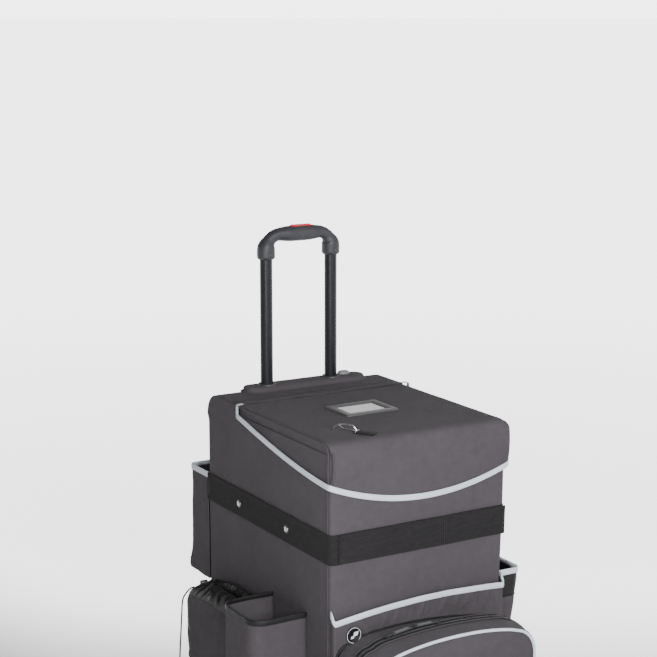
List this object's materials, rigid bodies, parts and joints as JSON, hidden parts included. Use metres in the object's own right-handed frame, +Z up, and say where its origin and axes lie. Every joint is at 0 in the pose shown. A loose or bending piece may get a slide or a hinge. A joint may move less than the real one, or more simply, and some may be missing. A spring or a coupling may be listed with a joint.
{
  "type": "wheeled housekeeping cart",
  "caption": "Soft-sided wheeled service cart: box-shaped fabric bag on a moulded base with a hinged lid, telescoping pull handle, outside pockets, fixed rear wheels and swivel casters.",
  "frame": {"origin": "on the floor, under the middle of the cart's outline in plan", "axes": "+Z up, the zipped front pocket faces -Y, the pull handle and fixed wheels are at +Y, the drawstring pouch is on the -X side"},
  "size_m": [0.5946, 0.7976, 1.107],
  "materials": {
    "body_fabric": "plain woven polyester, matt, warm grey",
    "pocket_fabric": "plain woven polyester, slightly puckered",
    "black_nylon": "thin gathered nylon with a slight sheen",
    "webbing": "looped pile webbing, matt",
    "edge_tape": "ribbed light grey binding tape",
    "zip_tape": "woven tape with coil teeth",
    "zip_metal": "black enamelled",
    "badge_rubber": "moulded soft plastic with a grey inlay",
    "board": "corrugated board under lining",
    "black_plastic": "fine moulded grain",
    "grip_plastic": "satin moulded grip",
    "grey_plastic": "satin grey moulding",
    "red_plastic": "satin red",
    "black_tube": "satin black anodised",
    "guide_tube": "plain drawn tube",
    "steel": "zinc plated",
    "card": "blank card",
    "cord": "braided polyester cord",
    "tyre": "grey-black rubber"
  },
  "bodies": {
    "root": {"base_tray": "black_plastic", "bag_shell": "body_fabric", "floor_board": "board", "rim_frame": "steel", "rear_stiffener": "board", "tube_bracket": "steel", "outer_tube_left": "guide_tube", "outer_tube_right": "guide_tube", "handle_housing": "body_fabric", "hinge_strip": "body_fabric", "body_band": "webbing", "front_band": "webbing", "snap_rear": "steel", "snap_front": "steel", "document_pocket": "pocket_fabric", "document_binding": "edge_tape", "document_badge": "badge_rubber", "zip_pocket": "pocket_fabric", "zip_piping": "edge_tape", "zip_chain": "zip_tape", "bottle_pocket": "black_nylon", "bottle_binding": "edge_tape", "rear_pocket": "body_fabric", "rear_binding": "edge_tape", "pouch_shell": "pocket_fabric", "pouch_collar": "black_nylon", "pouch_badge": "badge_rubber", "side_pocket": "pocket_fabric", "axle_frame": "steel", "rear_axle": "steel", "caster_plate_left": "steel", "caster_plate_right": "steel", "drawcord": "cord", "cord_knot": "cord"},
    "handle": {"inner_tube_left": "black_tube", "inner_tube_right": "black_tube", "grip": "grip_plastic"},
    "button": {"release_button": "red_plastic", "release_linkage": "steel"},
    "plunger_left": {"lock_plunger_left": "steel"},
    "plunger_right": {"lock_plunger_right": "steel"},
    "lid": {"lid_shell": "body_fabric", "lid_board": "board", "lid_binding": "edge_tape", "label_frame": "grey_plastic", "label_card": "card", "hook_tab": "webbing"},
    "hook": {"lid_hook": "steel"},
    "rear_wheel_left": {"rear_tyre_left": "tyre", "rear_hub_left": "grey_plastic"},
    "caster_left": {"caster_fork_left": "steel"},
    "caster_roller_left": {"caster_wheel_left": "tyre"},
    "slider_left": {"zip_slider_left": "zip_metal"},
    "tab_left": {"zip_tab_left": "badge_rubber"},
    "rear_wheel_right": {"rear_tyre_right": "tyre", "rear_hub_right": "grey_plastic"},
    "caster_right": {"caster_fork_right": "steel"},
    "caster_roller_right": {"caster_wheel_right": "tyre"},
    "slider_right": {"zip_slider_right": "zip_metal"},
    "tab_right": {"zip_tab_right": "badge_rubber"}
  },
  "joints": [
    {"name": "handle_telescope", "type": "slide", "parent": "root", "child": "handle", "axis": [0, 0, 1], "range_m": [-0.28, 0.137]},
    {"name": "release_press", "type": "slide", "parent": "handle", "child": "button", "axis": [0, 0, -1], "range_m": [0, 0.003], "stiffness_N_per_m": 2000, "springref_m": -0.002},
    {"name": "plunger_left_slide", "type": "slide", "parent": "handle", "child": "plunger_left", "axis": [1, 0, 0], "range_m": [0, 0.0026]},
    {"name": "plunger_right_slide", "type": "slide", "parent": "handle", "child": "plunger_right", "axis": [-1, 0, 0], "range_m": [0, 0.0026]},
    {"name": "lid_hinge", "type": "hinge", "parent": "root", "child": "lid", "pos_m": [0.03275, 0.14075, 0.74], "axis": [-1, 0, 0], "range_deg": [0, 95]},
    {"name": "hook_swing", "type": "hinge", "parent": "lid", "child": "hook", "pos_m": [-0.08025, -0.19825, 0.7433], "axis": [0.8143, 0.5804, 0], "range_deg": [0, 60]},
    {"name": "rear_wheel_left_spin", "type": "hinge", "parent": "root", "child": "rear_wheel_left", "pos_m": [-0.14225, 0.23075, 0.06226], "axis": [1, 0, 0], "continuous": true},
    {"name": "caster_left_swivel", "type": "hinge", "parent": "root", "child": "caster_left", "pos_m": [-0.11725, -0.18925, 0.127], "axis": [0, 0, 1], "continuous": true},
    {"name": "caster_left_roll", "type": "hinge", "parent": "caster_left", "child": "caster_roller_left", "pos_m": [-0.11725, -0.15925, 0.04973], "axis": [1, 0, 0], "continuous": true},
    {"name": "rear_wheel_right_spin", "type": "hinge", "parent": "root", "child": "rear_wheel_right", "pos_m": [0.20775, 0.23075, 0.06226], "axis": [1, 0, 0], "continuous": true},
    {"name": "caster_right_swivel", "type": "hinge", "parent": "root", "child": "caster_right", "pos_m": [0.18275, -0.18925, 0.127], "axis": [0, 0, 1], "continuous": true},
    {"name": "caster_right_roll", "type": "hinge", "parent": "caster_right", "child": "caster_roller_right", "pos_m": [0.18275, -0.15925, 0.04973], "axis": [1, 0, 0], "continuous": true},
    {"name": "zip_left_travel", "type": "hinge", "parent": "root", "child": "slider_left", "pos_m": [0.03275, -0.33825, -0.69561], "axis": [0, 1, 0], "range_deg": [-1.7, 0.3]},
    {"name": "zip_left_tab_lift", "type": "hinge", "parent": "slider_left", "child": "tab_left", "pos_m": [-0.09329, -0.33825, 0.3593], "axis": [0, -1, 0], "range_deg": [0, 140]},
    {"name": "zip_right_travel", "type": "hinge", "parent": "root", "child": "slider_right", "pos_m": [0.03275, -0.33825, -0.69561], "axis": [0, 1, 0], "range_deg": [-0.3, 8.2]},
    {"name": "zip_right_tab_lift", "type": "hinge", "parent": "slider_right", "child": "tab_right", "pos_m": [0.02771, -0.33825, 0.36679], "axis": [0, 1, 0], "range_deg": [0, 140]}
  ],
  "couplings": [
    {"joint": "plunger_left_slide", "follows": "release_press", "ratio": 0.8333},
    {"joint": "plunger_right_slide", "follows": "release_press", "ratio": 0.8333}
  ]
}
